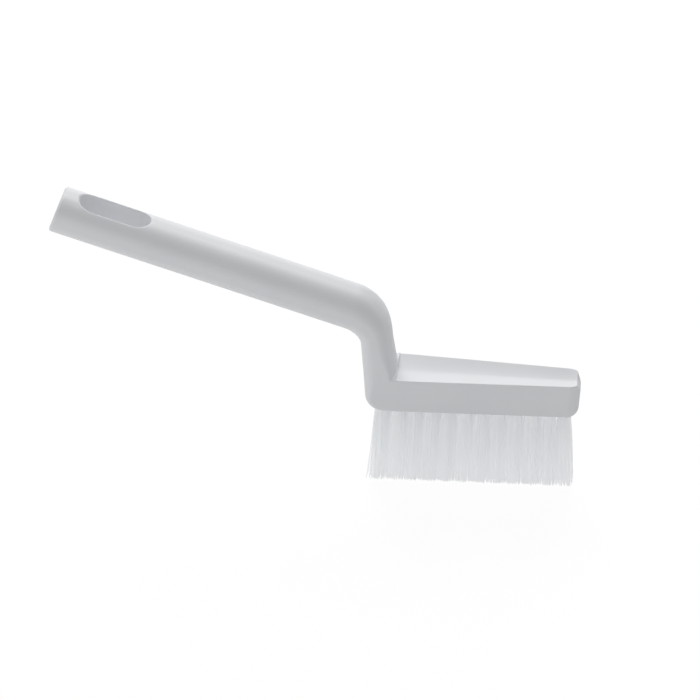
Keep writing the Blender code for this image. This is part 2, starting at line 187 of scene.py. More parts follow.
# Colours and finish
PLASTIC_DARK = (0.79, 0.80, 0.825, 1)
PLASTIC_LIGHT = (0.84, 0.85, 0.872, 1)
# Painted highlight: the plastic's sharp edges are painted this lighter colour
PLASTIC_PAINTED_HIGHLIGHT = (0.87, 0.88, 0.90, 1)
RUBBED_POLISH = 0.08
STRAND_DARK = (0.86, 0.875, 0.90, 1)
STRAND_LIGHT = (0.965, 0.975, 0.99, 1)
STRAND_CLOUD = (0.94, 0.95, 0.965, 1)
# Painted light: the filaments glow, dim at the roots and bright towards the tips
PAINTED_GLOW_AT_ROOT = (0.70, 0.71, 0.72, 1)
PAINTED_GLOW_AT_TIP = (0.99, 0.995, 1.0, 1)
PAINTED_GLOW_TOP = 28 * MM
STEEL_DARK = (0.48, 0.48, 0.49, 1)
STEEL_LIGHT = (0.66, 0.66, 0.67, 1)
STEEL_EDGE = (0.8, 0.8, 0.81, 1)
CLOUD_HEIGHT = 1.6

# Camera and light
VIEW_AZIMUTH = math.radians(6.2)
VIEW_ELEVATION = math.radians(35.0)
VIEW_AIM = Vector((11.2 * MM, 0, 51.2 * MM))
VIEW_DISTANCE = 0.8
VIEW_LENS = 113.6
VIEW_SENSOR = 36
AMBIENT = 0.415
GLOSSY_SHARE = 0.6
WHITE = (1, 1, 1, 1)
FLOOR_COLOUR = (0.91, 0.91, 0.91, 1)
FLOOR_WHITE = 1.05
FLOOR_SHADOW_SHARE = 0.12
FLOOR_REACH = 0.9
FLOOR_DROP = 0.05 * MM
LAMP_AIM = Vector((0, 0, 0.07))

# Lamps: name, direction from the brush, distance, side of the square, level
LAMPS = (
    ("key_softbox", (-0.07, 0.81, 0.58), 0.95, 0.8, 0.73),
    ("left_fill", (-1.0, -0.45, 0.12), 1.1, 0.3, 0.12),
    ("front_fill", (-0.15, -0.97, 0.1), 1.1, 0.5, 0.08),
)

SOLE_Z = BRISTLE_LENGTH
# From the side view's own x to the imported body's
SHIFT = Vector((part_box("brush_body")[1].x - HEAD_REACH, 0, 0))


def ease(t):
    t = min(max(t, 0.0), 1.0)
    return t * t * (3 - 2 * t)


def blend(a, b, t):
    return a + (b - a) * t


def round_corner(radius):
    return (radius, radius)


def mix_corner(a, b, t):
    return (blend(a[0], b[0], t), blend(a[1], b[1], t))


def xz(x, z):
    return Vector((x, 0, z))


# The side view lies in the XZ plane, with x = 0 where the lines of handle and neck cross
CORNER = xz(0, BEND_HEIGHT)
ALONG_HANDLE = xz(-math.cos(HANDLE_SLOPE), math.sin(HANDLE_SLOPE))
DOWN_NECK = xz(math.sin(NECK_LEAN), -math.cos(NECK_LEAN))
TURN = math.pi / 2 - NECK_LEAN - HANDLE_SLOPE
BEND_SETBACK = BEND_RADIUS * math.tan(TURN / 2)


def across(direction):
    return xz(direction.z, -direction.x)


class Station:
    """A cross-section of the moulding, between a lower and an upper point of its side view.

    Each corner is an arc of an ellipse, given by its reach across and its reach in height.
    A crown above 0 is the rise of a domed top, and one below 0 is the depth of a dish.
    The share planar of the width follows the head's taper, point by point.
    """

    def __init__(self, lower, upper, width, low_corner, top_corner, crown, planar=0.0):
        self.lower = lower
        self.upper = upper
        self.width = width
        self.low_corner = low_corner
        self.top_corner = top_corner
        self.crown = crown
        self.planar = planar

    def ring(self):
        height = (self.upper - self.lower).length
        up = (self.upper - self.lower) / height
        half = [self.placed(y, self.lower + up * s) for y, s in self.half_outline(height)]
        other = [Vector((p.x, -p.y, p.z)) for p in reversed(half)]
        return [p + SHIFT for p in half + other[1:-1]]

    def placed(self, y, point):
        share = blend(1.0, head_width(point.x) / self.width, self.planar)
        return point + Vector((0, y * share, 0))

    def half_outline(self, height):
        w = self.width / 2
        low_y, low_s = self.low_corner
        top_y, top_s = self.top_corner
        turn = self.top_turn(w)
        join = w - top_y + top_y * math.cos(turn)
        edge = height - max(self.crown, 0.0) + top_s * (1 - math.sin(turn))
        points = [((w - low_y) * i / (SOLE_STEPS / 2), 0.0) for i in range(SOLE_STEPS // 2)]
        for i in range(CORNER_STEPS):
            t = math.pi / 2 * i / CORNER_STEPS
            points.append((
                w - low_y + low_y * math.sin(t),
                low_s - low_s * math.cos(t),
            ))
        for i in range(SIDE_STEPS):
            points.append((w, blend(low_s, edge - top_s, i / SIDE_STEPS)))
        for i in range(CORNER_STEPS):
            t = turn * i / CORNER_STEPS
            points.append((
                w - top_y + top_y * math.cos(t),
                edge - top_s + top_s * math.sin(t),
            ))
        half_top = TOP_STEPS // 2
        join_s = height - max(self.crown, 0.0)
        roundness = 2.0 if self.crown > 0 else DISH_ROUNDNESS
        for i in range(half_top + 1):
            share = 1 - i / half_top
            points.append((join * share, join_s + self.crown * (1 - share ** roundness)))
        return points

    def top_turn(self, w):
        """How far the top corner turns before it runs on smoothly into a crowned top."""
        top_y, top_s = self.top_corner
        turn = math.pi / 2
        if self.crown > 0:
            for _ in range(TURN_TRIES):
                join = w - top_y + top_y * math.cos(turn)
                turn = math.atan2(top_s * join, 2 * self.crown * top_y)
        return turn


def handle_corner(width, thickness):
    return ((width - HANDLE_FLAT) / 2, (thickness - HANDLE_SIDE_FLAT) / 2)


def handle_station(from_end, inset=0.0):
    lean = END_LEAN * (1 - ease((from_end - END_ROUND) / END_LEAN_RUN))
    centre = CORNER + ALONG_HANDLE * (HANDLE_LENGTH - from_end)
    tilt = HANDLE_SLOPE + lean
    half = xz(math.sin(tilt), math.cos(tilt)) * (HANDLE_THICKNESS / 2 - inset) / math.cos(lean)
    width = HANDLE_WIDTH - 2 * inset
    corner = handle_corner(width, HANDLE_THICKNESS - 2 * inset)
    return Station(centre - half, centre + half, width, corner, corner, 0.0)


def handle_stations():
    stations = []
    for i in range(END_STEPS + 1):
        angle = math.pi / 2 * i / END_STEPS
        stations.append(handle_station(
            END_ROUND * (1 - math.cos(angle)), END_ROUND * (1 - math.sin(angle))
        ))
    run = HANDLE_LENGTH - BEND_SETBACK - END_ROUND
    for i in range(1, GRIP_STEPS):
        stations.append(handle_station(END_ROUND + run * i / GRIP_STEPS))
    return stations


def bend_stations():
    pivot = CORNER + ALONG_HANDLE * BEND_SETBACK + across(ALONG_HANDLE) * -BEND_RADIUS
    grip = handle_corner(HANDLE_WIDTH, HANDLE_THICKNESS)
    stations = []
    for i in range(BEND_STEPS + 1):
        t = i / BEND_STEPS
        soft = ease(t)
        angle = HANDLE_SLOPE + TURN * t
        outward = xz(math.sin(angle), math.cos(angle))
        centre = pivot + outward * BEND_RADIUS
        half = blend(HANDLE_THICKNESS, NECK_THICKNESS, soft) / 2
        stations.append(Station(
            centre - outward * half,
            centre + outward * half,
            blend(HANDLE_WIDTH, NECK_TOP_WIDTH, soft),
            mix_corner(grip, round_corner(NECK_BACK_RADIUS), soft),
            mix_corner(grip, round_corner(NECK_FRONT_RADIUS), soft),
            NECK_FRONT_CROWN * soft,
        ))
    return stations


def rim_z(x):
    return SOLE_Z + blend(HEEL_HEIGHT, TIP_HEIGHT, max(x, 0.0) / HEAD_REACH)


def neck_face(z, side):
    x = (BEND_HEIGHT - z) * math.tan(NECK_LEAN)
    return xz(x + side * NECK_THICKNESS / 2 / math.cos(NECK_LEAN), z)


def head_width(x):
    heel_x = neck_face(SOLE_Z + HEEL_RADIUS, -1).x
    return blend(HEEL_WIDTH, TIP_WIDTH, max(x - heel_x, 0.0) / (HEAD_REACH - heel_x))


def crease():
    z = rim_z(0) + CREASE_RADIUS
    face = neck_face(z, 1)
    centre = xz(face.x + NECK_BASE_FLARE + CREASE_RADIUS / math.cos(NECK_LEAN), z)
    points = []
    for i in range(FAN_STEPS + 1):
        angle = math.pi + NECK_LEAN + (math.pi / 2 - NECK_LEAN) * i / FAN_STEPS
        points.append(centre + xz(math.cos(angle), math.sin(angle)) * CREASE_RADIUS)
    return centre, points


def heel_route(start, end_x):
    pivot_z = SOLE_Z + HEEL_RADIUS
    pivot = neck_face(pivot_z, -1) + xz(HEEL_RADIUS / math.cos(NECK_LEAN), 0)
    route = [start]
    sweep = math.pi / 2 - NECK_LEAN
    for i in range(HEEL_STEPS + 1):
        angle = math.pi + NECK_LEAN + sweep * i / HEEL_STEPS
        route.append(pivot + xz(math.cos(angle), math.sin(angle)) * HEEL_RADIUS)
    route.append(xz(end_x, SOLE_Z))
    lengths = [(b - a).length for a, b in zip(route, route[1:])]
    points = []
    for k in range(FAN_STEPS + 1):
        left = sum(lengths) * k / FAN_STEPS
        i = 0
        while i < len(lengths) - 1 and left > lengths[i]:
            left -= lengths[i]
            i += 1
        points.append(route[i].lerp(route[i + 1], min(left / lengths[i], 1.0)))
    return points


def neck_and_heel_stations():
    centre, creases = crease()
    first_upper = creases[0]
    first_lower = neck_face(first_upper.z - math.sin(NECK_LEAN) * NECK_THICKNESS, -1)
    top_z = (CORNER + DOWN_NECK * BEND_SETBACK).z
    half = across(DOWN_NECK) * -NECK_THICKNESS / 2
    back, foot = round_corner(NECK_BACK_RADIUS), round_corner(NECK_FOOT_RADIUS)
    stations = []
    for i in range(1, NECK_STEPS):
        t = i / NECK_STEPS
        centre_z = blend(top_z, (first_upper.z + first_lower.z) / 2, t)
        middle = (neck_face(centre_z, 1) + neck_face(centre_z, -1)) / 2
        flare = xz(NECK_BASE_FLARE * ease(t), 0)
        lower = middle - half
        width = blend(NECK_TOP_WIDTH, head_width(lower.x), ease(t))
        corner = mix_corner(round_corner(NECK_FRONT_RADIUS), foot, ease(t))
        stations.append(Station(
            lower, middle + half + flare, width, back, corner, NECK_FRONT_CROWN, ease(t)
        ))
    lowers = heel_route(first_lower, centre.x)
    for i, (lower, upper) in enumerate(zip(lowers, creases)):
        t = i / FAN_STEPS
        soft = ease(t)
        stations.append(Station(
            lower,
            upper,
            head_width(lower.x),
            mix_corner(back, round_corner(SOLE_RADIUS), soft),
            mix_corner(foot, round_corner(RIM_RADIUS), ease(t / RIM_RUN)),
            blend(NECK_FRONT_CROWN, -DISH_DEPTH, soft),
            1.0,
        ))
    return stations


def head_stations():
    start = crease()[0].x
    tip_start = HEAD_REACH - TIP_ROUND_LENGTH
    corner, rim = round_corner(SOLE_RADIUS), round_corner(RIM_RADIUS)
    stations = []
    for i in range(1, HEAD_STEPS):
        x = blend(start, tip_start, i / HEAD_STEPS)
        stations.append(
            Station(xz(x, SOLE_Z), xz(x, rim_z(x)), head_width(x), corner, rim, -DISH_DEPTH)
        )
    brow_start = math.sin(math.pi / 2 * BROW_SHARE)
    for i in range(TIP_STEPS + 1):
        angle = math.pi / 2 * i / TIP_STEPS
        inset = 1 - math.cos(angle)
        x = tip_start + TIP_ROUND_LENGTH * math.sin(angle)
        brow = max(0.0, (math.sin(angle) - brow_start) / (1 - brow_start))
        sole = SOLE_Z + TIP_BOTTOM_ROUND * inset
        dish = blend(DISH_DEPTH, TIP_DISH_DEPTH, i / TIP_STEPS) * (1 - brow)
        stations.append(Station(
            xz(x - TIP_BOTTOM_ROUND * inset * math.tan(NECK_LEAN), sole),
            xz(x, rim_z(x) - TIP_BROW_DROP * brow),
            head_width(tip_start) - 2 * TIP_PLAN_ROUND * inset,
            corner,
            rim,
            -dish,
        ))
    return stations


def skin(bm, rings):
    loops = [[bm.verts.new(point) for point in ring] for ring in rings]
    for first, second in zip(loops, loops[1:]):
        for i in range(len(first)):
            j = (i + 1) % len(first)
            bm.faces.new((first[i], first[j], second[j], second[i]))
    bm.faces.new(loops[0])
    bm.faces.new(loops[-1])


def mesh_from(bm, name):
    bmesh.ops.recalc_face_normals(bm, faces=bm.faces)
    mesh = bpy.data.meshes.new(name)
    bm.to_mesh(mesh)
    bm.free()
    return mesh


def new_object(name, mesh):
    piece = bpy.data.objects.new(name, mesh)
    bpy.context.scene.collection.objects.link(piece)
    return piece


def slot_centre_x():
    return (ALONG_HANDLE * HANDLE_LENGTH).x + SLOT_FROM_END


def handle_surface(x, y, side):
    """Height of the handle's top (side 1) or underside (side -1) at x and y."""
    corner_y, corner_s = handle_corner(HANDLE_WIDTH, HANDLE_THICKNESS)
    past_flat = max(abs(y) - (HANDLE_WIDTH / 2 - corner_y), 0.0) / corner_y
    rise = math.sqrt(1 - min(past_flat, 1.0) ** 2)
    s = HANDLE_THICKNESS / 2 - corner_s + corner_s * rise
    return BEND_HEIGHT - x * math.tan(HANDLE_SLOPE) + side * s / math.cos(HANDLE_SLOPE)


def slot_outline(grow):
    radius = SLOT_WIDTH / 2 + grow
    straight = (SLOT_LENGTH - SLOT_WIDTH) / 2
    outline = []
    for end in (1, -1):
        for i in range(SLOT_ARC_STEPS + 1):
            angle = math.pi * (i / SLOT_ARC_STEPS - 0.5)
            outline.append((
                slot_centre_x() + end * (straight + radius * math.cos(angle)),
                end * radius * math.sin(angle),
            ))
    return outline


def slot_rim(side):
    """Rings of the slot's cutter, from inside the slot over its rounded rim and out past it."""
    rings = []
    for degrees in range(0, SLOT_RIM_DEGREES + 1, SLOT_RIM_STEP):
        angle = math.radians(degrees)
        sink = SLOT_RIM_RADIUS * (1 - math.sin(angle))
        outline = slot_outline(SLOT_RIM_RADIUS * (1 - math.cos(angle)))
        rings.append([(x, y, handle_surface(x, y, side) - side * sink) for x, y in outline])
    tangent = math.radians(SLOT_RIM_DEGREES)
    reach = 2 * SLOT_RIM_RADIUS
    outline = slot_outline(SLOT_RIM_RADIUS * (1 - math.cos(tangent)) + reach * math.sin(tangent))
    lift = reach * math.cos(tangent)
    rings.append([(x, y, handle_surface(x, y, side) + side * lift) for x, y in outline])
    beside = handle_surface(slot_centre_x() - side * SLOT_LENGTH, 0, side)
    rings.append([(x, y, beside + side * HANDLE_THICKNESS) for x, y in outline])
    return [[Vector(p) + SHIFT for p in ring] for ring in rings]


def slot_cutter():
    bm = bmesh.new()
    skin(bm, list(reversed(slot_rim(-1))) + slot_rim(1))
    return new_object("slot_cutter", mesh_from(bm, "slot_cutter"))


def hole_ring(centre, z):
    angles = [2 * math.pi * i / HOLE_SIDES for i in range(HOLE_SIDES)]
    return [
        (centre.x + HOLE_RADIUS * math.cos(a), centre.y + HOLE_RADIUS * math.sin(a), z)
        for a in angles
    ]


def hole_cutter(places):
    bm = bmesh.new()
    for centre in places.values():
        mouth = hole_ring(centre, SOLE_Z - HEEL_RADIUS)
        end = hole_ring(centre, SOLE_Z + PLUG_HEIGHT + CLEARANCE)
        skin(bm, [mouth, end])
    return new_object("hole_cutter", mesh_from(bm, "hole_cutter"))


def tuft_places():
    """The middle of each tuft's hole, taken from its anchor in the frame."""
    places = {}
    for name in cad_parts:
        if name.startswith("anchor_"):
            low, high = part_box(name)
            places[name.removeprefix("anchor_")] = (low + high) / 2
    return dict(sorted(places.items()))


def make_body(places, material):
    bm = bmesh.new()
    stations = handle_stations() + bend_stations() + neck_and_heel_stations() + head_stations()
    skin(bm, [station.ring() for station in stations])
    body = new_object("moulded_body", mesh_from(bm, "moulded_body"))
    body.data.materials.append(material)
    for cutter in (slot_cutter(), hole_cutter(places)):
        modifier = body.modifiers.new(cutter.name, "BOOLEAN")
        modifier.operation = "DIFFERENCE"
        modifier.solver = "EXACT"
        modifier.object = cutter
        bpy.context.view_layer.update()
        evaluated = body.evaluated_get(bpy.context.evaluated_depsgraph_get())
        cut = bpy.data.meshes.new_from_object(evaluated)
        body.modifiers.clear()
        body.data = cut
        bpy.data.objects.remove(cutter)
    body.data.name = "moulded_body"
    body.data.shade_smooth()
    body.data.set_sharp_from_angle(angle=BODY_SHARP_ANGLE)
    weighted = body.modifiers.new("even shading", "WEIGHTED_NORMAL")
    weighted.mode = "FACE_AREA"
    weighted.keep_sharp = True
    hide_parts("brush_body")
    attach(body, "root")


def tube(verts, faces, points, radius):
    """Adds a tube with closed ends along points to the lists of verts and faces."""
    base = len(verts)
    tangent = (points[1] - points[0]).normalized()
    side = tangent.orthogonal().normalized()
    for i, point in enumerate(points):
        before = points[max(i - 1, 0)]
        after = points[min(i + 1, len(points) - 1)]
        new_tangent = (after - before).normalized()
        side = (side - new_tangent * side.dot(new_tangent)).normalized()
        third = new_tangent.cross(side)
        for k in range(FILAMENT_SIDES):
            angle = 2 * math.pi * k / FILAMENT_SIDES
            verts.append(point + (side * math.cos(angle) + third * math.sin(angle)) * radius)
    rings = len(points)
    for i in range(rings - 1):
        for k in range(FILAMENT_SIDES):
            j = (k + 1) % FILAMENT_SIDES
            low = base + i * FILAMENT_SIDES
            high = low + FILAMENT_SIDES
            faces.append((low + k, low + j, high + j, high + k))
    faces.append(tuple(base + k for k in reversed(range(FILAMENT_SIDES))))
    faces.append(tuple(base + (rings - 1) * FILAMENT_SIDES + k for k in range(FILAMENT_SIDES)))


def tip_place(root, reach, patch):
    """Where a filament that leaves a round hole at root ends in the square patch of cut tips."""
    square = root.length / max(abs(root.x), abs(root.y), SMALLEST_ROOT) / reach
    return Vector((root.x * patch.x, root.y * patch.y, 0)) * square / 2


def scatter(rng, spreads, middle=0.0):
    """A random step along and across the brush; spreads and middle are in millimetres."""
    return Vector((rng.gauss(middle, spreads[0]), rng.gauss(0, spreads[1]), 0)) * MM


def leg(rng, root, end, lean, powers):
    """Centre line of one hanging leg of a filament, from its cut tip up to the hole's mouth."""
    splay = end - root + scatter(rng, TIP_SCATTER)
    power = powers[1] if splay.x * lean.x > 0 else powers[0]
    bow = scatter(rng, BOW_SCATTER)
    drop = SOLE_Z - rng.uniform(*TIP_SHORTFALL) * MM
    points = []
    for i in range(LEG_STEPS + 1):
        t = 1 - i / LEG_STEPS
        spread = Vector((splay.x * t ** power, splay.y * t ** SIDE_SPREAD_POWER, 0))
        point = root + spread + lean * t + bow * math.sin(math.pi * t)
        point.z = -drop * t
        points.append(point)
    return points


def tuft_filaments(rng, folds, patch, lean, strays, powers):
    """Centre lines of a tuft's folded filaments, about the middle of its hole's mouth."""
    along = Vector((math.cos(ANCHOR_SLANT), math.sin(ANCHOR_SLANT), 0))
    aside = Vector((-along.y, along.x, 0))
    reach = HOLE_RADIUS - FILAMENT_RADIUS * MOUTH_MARGIN
    clear = ANCHOR_THICKNESS / 2 + FILAMENT_RADIUS + ANCHOR_GAP
    anchor_top = PLUG_HEIGHT - ANCHOR_BELOW_PLUG_TOP
    lines = []
    count = 2 * folds
    for k in range(count):
        radius = reach * math.sqrt((k + 0.5) / count)
        angle = k * math.pi * (3 - math.sqrt(5))  # the golden angle fills the round hole evenly
        p = radius * math.cos(angle) + rng.uniform(-ROOT_SCATTER, ROOT_SCATTER) * MM
        q = radius * math.sin(angle)
        if q < 0:
            continue
        legs = []
        for sign in (1, -1):
            root = along * p + aside * q * sign
            stray = Vector((0, 0, 0))
            if rng.random() < strays[0]:
                stray = scatter(rng, STRAY_SCATTER, strays[1])
            off_anchor = aside * sign * blend(clear, reach, q / reach)
            held = along * p * FOLD_SHARE_ALONG + off_anchor * FOLD_SHARE_ASIDE
            points = leg(rng, root, tip_place(root, reach, patch), lean + stray, powers)
            points.append(held.lerp(root, FUNNEL_SHARE) + Vector((0, 0, FUNNEL_HEIGHT)))
            points.append(held + Vector((0, 0, anchor_top - ANCHOR_HEIGHT)))
            points.append(held + Vector((0, 0, anchor_top)))
            legs.append(points)
        crest = along * p * FOLD_SHARE_ALONG + Vector((0, 0, anchor_top + clear + q * CREST_RISE))
        lines.append(legs[0] + [crest] + legs[1][::-1])
    return lines


def make_tuft(name, centre, places, material):
    rng = random.Random(f"tuft {name}")
    xs = [p.x for p in places.values()]
    share = (centre.x - min(xs)) / (max(xs) - min(xs))
    side = (centre.y > MM) - (centre.y < -MM)  # 1 in the rear row, -1 in the front row
    lean = Vector((
        math.tan(END_TUFT_LEAN * (2 * share - 1)), math.tan(SIDE_TUFT_LEAN) * side, 0
    )) * SOLE_Z
    strays = (STRAY_SHARE, STRAY_STEP * (2 * share - 1))
    patch = Vector((TIP_PATCH_LENGTH, TIP_PATCH_WIDTH, 0))
    folds, powers = FOLDS_PER_TUFT, SPREAD_POWERS
    if name in ("front_01", "rear_01"):
        strays = HEEL_STRAYS
        lean.x *= HEEL_LEAN_FACTOR
        patch.x -= HEEL_PATCH_LOSS
    if name == "tip":
        patch = Vector((TIP_TUFT_PATCH_LENGTH, head_width(centre.x - SHIFT.x), 0))
        lean.x *= TIP_LEAN_FACTOR
        folds, powers = TIP_TUFT_FOLDS, TIP_TUFT_SPREAD_POWERS
    side_limit = cad_high.y - SIDE_MARGIN
    mouth = Vector((centre.x, centre.y, SOLE_Z))
    shade = rng.random()
    verts, faces, tones = [], [], []
    for line in tuft_filaments(rng, folds, patch, lean, strays, powers):
        points = [mouth + p for p in line]
        for point in points:
            point.y = min(max(point.y, -side_limit), side_limit)
        tube(verts, faces, points, FILAMENT_RADIUS * rng.uniform(*FILAMENT_RADIUS_RANGE))
        tone = blend(shade, rng.random(), STRAND_TONE_SHARE)
        tones += [tone] * (len(verts) - len(tones))
    mesh = bpy.data.meshes.new(f"bristles_{name}")
    mesh.from_pydata([tuple(v) for v in verts], [], faces)
    attribute = mesh.attributes.new("tone", "FLOAT", "POINT")
    attribute.data.foreach_set("value", tones)
    mesh.shade_smooth()
    mesh.set_sharp_from_angle(angle=TUFT_SHARP_ANGLE)
    mesh.materials.append(material)
    tuft = new_object(f"bristles_{name}", mesh)
    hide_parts(f"tuft_{name}")
    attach(tuft, "root")


class Nodes:
    """A short way to place and wire shader nodes in one tree."""

    columns, width, height = 8, 180, 260

    def __init__(self, tree):
        self.tree = tree
        self.count = 0

    def add(self, kind, settings=None, **inputs):
        node = self.tree.nodes.new(kind)
        row, column = divmod(self.count, self.columns)
        node.location = (self.width * column, -self.height * row)
        self.count += 1
        for key, value in (settings or {}).items():
            setattr(node, key, value)
        for key, value in inputs.items():
            self.set(node, key.replace("_", " "), value)
        return node

    def set(self, node, key, value):
        socket = node.inputs[int(key)] if key.isdigit() else node.inputs[key]
        if isinstance(value, bpy.types.NodeSocket):
            self.tree.links.new(value, socket)
        else:
            socket.default_value = value

    def math(self, operation, a, b, clamp=False):
        node = self.add("ShaderNodeMath", {"operation": operation, "use_clamp": clamp})
        self.set(node, "0", a)
        self.set(node, "1", b)
        return node.outputs[0]

    def span(self, value, low, high):
        node = self.add("ShaderNodeMapRange", None, Value=value)
        self.set(node, "To Min", low)
        self.set(node, "To Max", high)
        return node.outputs["Result"]

    def mix(self, share, a, b):
        """Mixes two colours, which are sockets 6 and 7 of this node."""
        node = self.add("ShaderNodeMix", {"data_type": "RGBA"})
        self.set(node, "0", share)
        self.set(node, "6", a)
        self.set(node, "7", b)
        return node.outputs[2]


def new_group(name, inputs, outputs):
    tree = bpy.data.node_groups.new(name, "ShaderNodeTree")
    for label, value in inputs:
        socket = tree.interface.new_socket(label, in_out="INPUT", socket_type="NodeSocketFloat")
        socket.default_value = value
    for label in outputs:
        tree.interface.new_socket(label, in_out="OUTPUT", socket_type="NodeSocketFloat")
    nodes = Nodes(tree)
    return tree, nodes, nodes.add("NodeGroupInput"), nodes.add("NodeGroupOutput")


def grain_group():
    """Fine grain and slow cloudiness of a surface, as values from 0 to 1."""
    tree, nodes, given, result = new_group(
        "surface_grain",
        [("Grain Scale", 2500.0), ("Cloud Scale", 60.0), ("Stretch X", 1.0), ("Stretch Z", 1.0)],
        ["Grain", "Cloud", "Height"],
    )
    place = nodes.add("ShaderNodeTexCoord").outputs["Object"]
    stretch = nodes.add("ShaderNodeCombineXYZ", None, Y=1.0)
    nodes.set(stretch, "X", given.outputs["Stretch X"])
    nodes.set(stretch, "Z", given.outputs["Stretch Z"])
    scaled = nodes.add("ShaderNodeVectorMath", {"operation": "MULTIPLY"})
    nodes.set(scaled, "0", place)
    nodes.set(scaled, "1", stretch.outputs[0])
    fine = nodes.add("ShaderNodeTexNoise", None, Vector=scaled.outputs[0], Detail=3.0)
    nodes.set(fine, "Scale", given.outputs["Grain Scale"])
    cloud = nodes.add("ShaderNodeTexNoise", None, Vector=scaled.outputs[0], Detail=2.0)
    nodes.set(cloud, "Scale", given.outputs["Cloud Scale"])
    swell = nodes.math("MULTIPLY", cloud.outputs["Fac"], CLOUD_HEIGHT)
    height = nodes.math("ADD", fine.outputs["Fac"], swell)
    nodes.set(result, "Grain", fine.outputs["Fac"])
    nodes.set(result, "Cloud", cloud.outputs["Fac"])
    nodes.set(result, "Height", height)
    return tree


def edge_wear_and_highlight_group():
    """A mask of sharp edges, 0 on faces and 1 on sharp edges, broken by noise: a painted highlight
    on the plastic, bright sheared edges on the steel.
    """
    tree, nodes, given, result = new_group(
        "worn_and_highlighted_edges", [("Start", 0.52), ("End", 0.62)], ["Wear"]
    )
    point = nodes.add("ShaderNodeNewGeometry").outputs["Pointiness"]
    edge = nodes.add("ShaderNodeMapRange", None, Value=point)
    nodes.set(edge, "From Min", given.outputs["Start"])
    nodes.set(edge, "From Max", given.outputs["End"])
    place = nodes.add("ShaderNodeTexCoord").outputs["Object"]
    patch = nodes.add("ShaderNodeTexNoise", None, Vector=place, Scale=220.0, Detail=3.0)
    broken = nodes.add("ShaderNodeMapRange", None, Value=patch.outputs["Fac"])
    nodes.set(broken, "From Min", 0.35)
    nodes.set(broken, "From Max", 0.6)
    edge_wear_and_highlight = nodes.math("MULTIPLY", edge.outputs[0], broken.outputs[0], clamp=True)
    nodes.set(result, "Wear", edge_wear_and_highlight)
    return tree


def new_material(name):
    material = bpy.data.materials.new(name)
    material.use_nodes = True
    nodes = Nodes(material.node_tree)
    return material, nodes, material.node_tree.nodes["Principled BSDF"]


def group_node(nodes, group, **inputs):
    return nodes.add("ShaderNodeGroup", {"node_tree": group}, **inputs)


def raise_grain(nodes, shader, texture, strength, distance):
    bump = nodes.add("ShaderNodeBump", None, Strength=strength, Distance=distance)
    nodes.set(bump, "Height", texture.outputs["Height"])
    nodes.set(shader, "Normal", bump.outputs["Normal"])


def plastic_material(grain, edge_wear_and_highlight):
    """Satin white moulded plastic: faint flow clouds, a fine spark-eroded grain, and sharp edges
    painted lighter as a highlight, which are also a little less rough.
    """
    material, nodes, shader = new_material("satin_white_plastic")
    texture = group_node(nodes, grain, Grain_Scale=1900.0, Cloud_Scale=45.0)
    edges = group_node(nodes, edge_wear_and_highlight)
    cloud = nodes.mix(texture.outputs["Cloud"], PLASTIC_DARK, PLASTIC_LIGHT)
    # Sharp edges are painted lighter here, a painted highlight
    colour = nodes.mix(edges.outputs["Wear"], cloud, PLASTIC_PAINTED_HIGHLIGHT)
    nodes.set(shader, "Base Color", colour)
    rough = nodes.span(texture.outputs["Grain"], low=0.50, high=0.62)
    rubbed = nodes.math("MULTIPLY", edges.outputs["Wear"], RUBBED_POLISH)
    nodes.set(shader, "Roughness", nodes.math("SUBTRACT", rough, rubbed))
    raise_grain(nodes, shader, texture, strength=0.12, distance=0.00006)
    shader.inputs["Specular IOR Level"].default_value = 0.5
    return material


def bristle_material(grain):
    """White drawn filament, each strand with its own tone and a trace of length-wise streaks, and a
    painted glow, dim at the roots and bright towards the tips, that stands in for light passing
    through the filaments.
    """
    material, nodes, shader = new_material("white_filament")
    tone = nodes.add("ShaderNodeAttribute", {"attribute_name": "tone"}).outputs["Fac"]
    texture = group_node(nodes, grain, Grain_Scale=3000.0, Cloud_Scale=300.0, Stretch_Z=0.06)
    strand = nodes.mix(tone, STRAND_DARK, STRAND_LIGHT)
    streaked = nodes.mix(texture.outputs["Cloud"], strand, STRAND_CLOUD)
    nodes.set(shader, "Base Color", streaked)
    nodes.set(shader, "Roughness", nodes.span(texture.outputs["Grain"], low=0.30, high=0.48))
    raise_grain(nodes, shader, texture, strength=0.15, distance=0.00003)
    # Painted glow: emission that brightens the filaments towards their tips, standing in for light
    # passing through them
    place = nodes.add("ShaderNodeTexCoord").outputs["Object"]
    height = nodes.add("ShaderNodeSeparateXYZ", None, Vector=place)
    towards_tip = nodes.add("ShaderNodeMapRange", None, Value=height.outputs["Z"])
    nodes.set(towards_tip, "From Min", PAINTED_GLOW_TOP)
    nodes.set(towards_tip, "From Max", 0.0)
    painted_glow = nodes.mix(towards_tip.outputs[0], PAINTED_GLOW_AT_ROOT, PAINTED_GLOW_AT_TIP)
    nodes.set(shader, "Emission Color", painted_glow)
    shader.inputs["Emission Strength"].default_value = 0.16
    shader.inputs["Subsurface Weight"].default_value = 0.4
    shader.inputs["Subsurface Radius"].default_value = (1, 1, 1)
    shader.inputs["Subsurface Scale"].default_value = 0.0008
    return material


def steel_material(grain, edge_wear_and_highlight):
    """Drawn flat steel wire, streaked along its length, with bright sheared edges."""
    material, nodes, shader = new_material("drawn_steel")
    texture = group_node(nodes, grain, Grain_Scale=4000.0, Cloud_Scale=900.0, Stretch_X=0.1)
    edges = group_node(nodes, edge_wear_and_highlight)
    base = nodes.mix(texture.outputs["Cloud"], STEEL_DARK, STEEL_LIGHT)
    nodes.set(shader, "Base Color", nodes.mix(edges.outputs["Wear"], base, STEEL_EDGE))
    nodes.set(shader, "Roughness", nodes.span(texture.outputs["Grain"], low=0.25, high=0.45))
    raise_grain(nodes, shader, texture, strength=0.2, distance=0.00002)
    shader.inputs["Metallic"].default_value = 1.0
    return material


